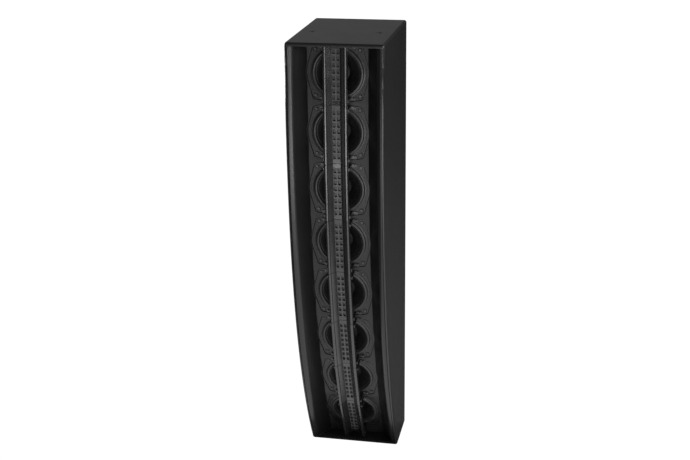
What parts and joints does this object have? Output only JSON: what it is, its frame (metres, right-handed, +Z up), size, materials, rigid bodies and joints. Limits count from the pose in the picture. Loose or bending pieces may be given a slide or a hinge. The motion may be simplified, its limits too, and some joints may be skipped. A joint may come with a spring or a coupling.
{
  "type": "line array speaker",
  "caption": "Curved column line array loudspeaker: woofers on a faceted baffle behind a slotted high-frequency waveguide column, in a J-curved cabinet to hang or mount on a wall.",
  "frame": {"origin": "midway between the two rigging inserts, on the plane of the cabinet's top face", "axes": "+Z up out of the top, +Y to the flat back, +X to the right of someone who looks at the front"},
  "size_m": [0.275, 0.3999, 1.322],
  "materials": {
    "cabinet_paint": "fine textured satin black polyurea paint on plywood",
    "baffle_paint": "matt black paint on plywood",
    "bare_plywood": "birch plywood",
    "wadding": "polyester wadding",
    "cast_frame": "black powder-coated cast aluminium",
    "cone_paper": "coated black paper cone and cap",
    "surround_rubber": "black rubber half-roll",
    "plated_steel": "zinc-plated steel",
    "ferrite": "grey-black sintered ferrite",
    "spider_cloth": "resin-dipped cotton cloth",
    "black_screw": "black zinc-plated steel",
    "waveguide_plastic": "satin black moulded plastic",
    "tweeter_plate": "black-coated perforated steel",
    "membrane_film": "thin dark coated film with etched conductor",
    "plate_paint": "black anodised aluminium",
    "socket_plastic": "dark blue-black plastic",
    "circuit_board": "green circuit board",
    "components": "wound coils, capacitors and resistors",
    "cable_jacket": "black cable sleeving"
  },
  "bodies": {
    "root": {"cabinet_side_left": "cabinet_paint", "cabinet_side_right": "cabinet_paint", "cabinet_top": "cabinet_paint", "cabinet_bottom": "cabinet_paint", "cabinet_back": "cabinet_paint", "faceted_baffle": "baffle_paint", "horn_flare_left": "cabinet_paint", "horn_flare_right": "cabinet_paint", "cabinet_braces": "bare_plywood", "damping_wadding": "wadding", "woofer_frame_1": "cast_frame", "woofer_frame_2": "cast_frame", "woofer_frame_3": "cast_frame", "woofer_frame_4": "cast_frame", "woofer_frame_5": "cast_frame", "woofer_frame_6": "cast_frame", "woofer_frame_7": "cast_frame", "woofer_frame_8": "cast_frame", "woofer_surround_1": "surround_rubber", "woofer_surround_2": "surround_rubber", "woofer_surround_3": "surround_rubber", "woofer_surround_4": "surround_rubber", "woofer_surround_5": "surround_rubber", "woofer_surround_6": "surround_rubber", "woofer_surround_7": "surround_rubber", "woofer_surround_8": "surround_rubber", "woofer_front_plates": "plated_steel", "woofer_magnets": "ferrite", "woofer_yokes": "plated_steel", "woofer_spiders": "spider_cloth", "woofer_screws": "black_screw", "waveguide_1": "waveguide_plastic", "waveguide_2": "waveguide_plastic", "waveguide_3": "waveguide_plastic", "waveguide_4": "waveguide_plastic", "waveguide_5": "waveguide_plastic", "waveguide_6": "waveguide_plastic", "waveguide_7": "waveguide_plastic", "waveguide_8": "waveguide_plastic", "tweeter_front_plates": "tweeter_plate", "tweeter_magnets": "ferrite", "tweeter_membranes": "membrane_film", "tweeter_rear_covers": "waveguide_plastic", "waveguide_screws": "black_screw", "threaded_inserts": "black_screw", "side_blanking_screws": "black_screw", "connector_plate": "plate_paint", "speaker_sockets": "socket_plastic", "connector_plate_screws": "black_screw", "crossover_board": "circuit_board", "crossover_parts": "components", "internal_wiring": "cable_jacket"},
    "cone_1": {"woofer_cone_1": "cone_paper"},
    "cone_2": {"woofer_cone_2": "cone_paper"},
    "cone_3": {"woofer_cone_3": "cone_paper"},
    "cone_4": {"woofer_cone_4": "cone_paper"},
    "cone_5": {"woofer_cone_5": "cone_paper"},
    "cone_6": {"woofer_cone_6": "cone_paper"},
    "cone_7": {"woofer_cone_7": "cone_paper"},
    "cone_8": {"woofer_cone_8": "cone_paper"}
  },
  "joints": [
    {"name": "cone_1_travel", "type": "slide", "parent": "root", "child": "cone_1", "axis": [0, -0.9995, 0.0305], "range_m": [-0.0045, 0.0045], "stiffness_N_per_m": 2200, "deforming": ["woofer_surround_1", "woofer_spiders"]},
    {"name": "cone_2_travel", "type": "slide", "parent": "root", "child": "cone_2", "axis": [0, -1, 0.0009], "range_m": [-0.0045, 0.0045], "stiffness_N_per_m": 2200, "deforming": ["woofer_surround_2"]},
    {"name": "cone_3_travel", "type": "slide", "parent": "root", "child": "cone_3", "axis": [0, -0.9991, -0.0427], "range_m": [-0.0045, 0.0045], "stiffness_N_per_m": 2200, "deforming": ["woofer_surround_3"]},
    {"name": "cone_4_travel", "type": "slide", "parent": "root", "child": "cone_4", "axis": [0, -0.995, -0.1002], "range_m": [-0.0045, 0.0045], "stiffness_N_per_m": 2200, "deforming": ["woofer_surround_4"]},
    {"name": "cone_5_travel", "type": "slide", "parent": "root", "child": "cone_5", "axis": [0, -0.9853, -0.1711], "range_m": [-0.0045, 0.0045], "stiffness_N_per_m": 2200, "deforming": ["woofer_surround_5"]},
    {"name": "cone_6_travel", "type": "slide", "parent": "root", "child": "cone_6", "axis": [0, -0.967, -0.2546], "range_m": [-0.0045, 0.0045], "stiffness_N_per_m": 2200, "deforming": ["woofer_surround_6"]},
    {"name": "cone_7_travel", "type": "slide", "parent": "root", "child": "cone_7", "axis": [0, -0.937, -0.3494], "range_m": [-0.0045, 0.0045], "stiffness_N_per_m": 2200, "deforming": ["woofer_surround_7"]},
    {"name": "cone_8_travel", "type": "slide", "parent": "root", "child": "cone_8", "axis": [0, -0.8914, -0.4532], "range_m": [-0.0045, 0.0045], "stiffness_N_per_m": 2200, "deforming": ["woofer_surround_8"]}
  ],
  "couplings": [
    {"joint": "cone_2_travel", "follows": "cone_1_travel", "ratio": 1},
    {"joint": "cone_3_travel", "follows": "cone_1_travel", "ratio": 1},
    {"joint": "cone_4_travel", "follows": "cone_1_travel", "ratio": 1},
    {"joint": "cone_5_travel", "follows": "cone_1_travel", "ratio": 1},
    {"joint": "cone_6_travel", "follows": "cone_1_travel", "ratio": 1},
    {"joint": "cone_7_travel", "follows": "cone_1_travel", "ratio": 1},
    {"joint": "cone_8_travel", "follows": "cone_1_travel", "ratio": 1}
  ]
}
